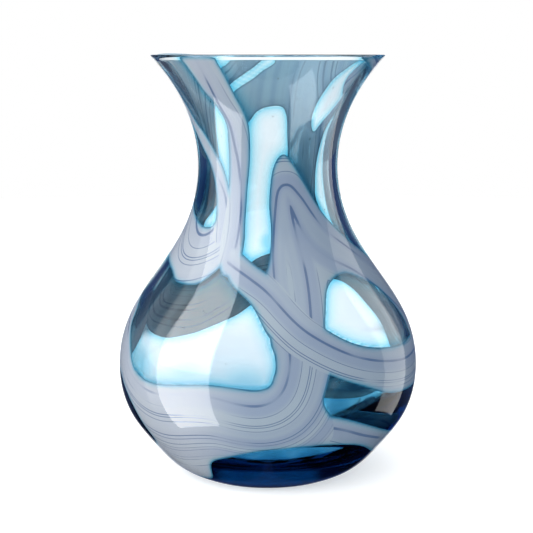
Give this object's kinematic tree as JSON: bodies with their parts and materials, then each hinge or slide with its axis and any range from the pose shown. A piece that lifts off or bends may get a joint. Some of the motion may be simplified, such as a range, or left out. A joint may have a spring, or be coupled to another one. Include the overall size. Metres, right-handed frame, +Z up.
{
  "type": "vase",
  "caption": "Blown glass vase with a round belly, waisted neck and flared cut rim, in clear aqua glass with swirled opaque trails.",
  "frame": {"origin": "centre of the ground foot, on the surface that the vase stands on", "axes": "+Z up along the vase's axis, -Y towards the side with the neck ribbon and the diagonal sash, +X to the right seen from there"},
  "size_m": [0.1806, 0.1807, 0.25],
  "materials": {
    "aqua_glass": "clear fire-polished aqua glass, glossy inside and out",
    "deep_blue_glass": "thick clear blue glass, glossy, dark where it is deepest",
    "opal_glass": "opaque lilac-grey opal glass with fine blue flow lines, glossy"
  },
  "bodies": {
    "root": {"vase_body": "aqua_glass", "base_gather": "deep_blue_glass", "neck_ribbon": "opal_glass", "side_ribbon": "opal_glass", "left_lobe": "opal_glass", "shoulder_arch": "opal_glass", "belly_sash": "opal_glass", "lower_swirl": "opal_glass", "left_edge_band": "opal_glass", "heel_sash": "opal_glass", "right_rim_ribbon": "opal_glass", "rear_neck_ribbon": "opal_glass", "rear_left_ribbon": "opal_glass", "rear_neck_band": "opal_glass", "rear_side_band": "opal_glass", "rear_belly_sash": "opal_glass", "rear_left_sash": "opal_glass", "rear_heel_swirl": "opal_glass"}
  },
  "joints": []
}
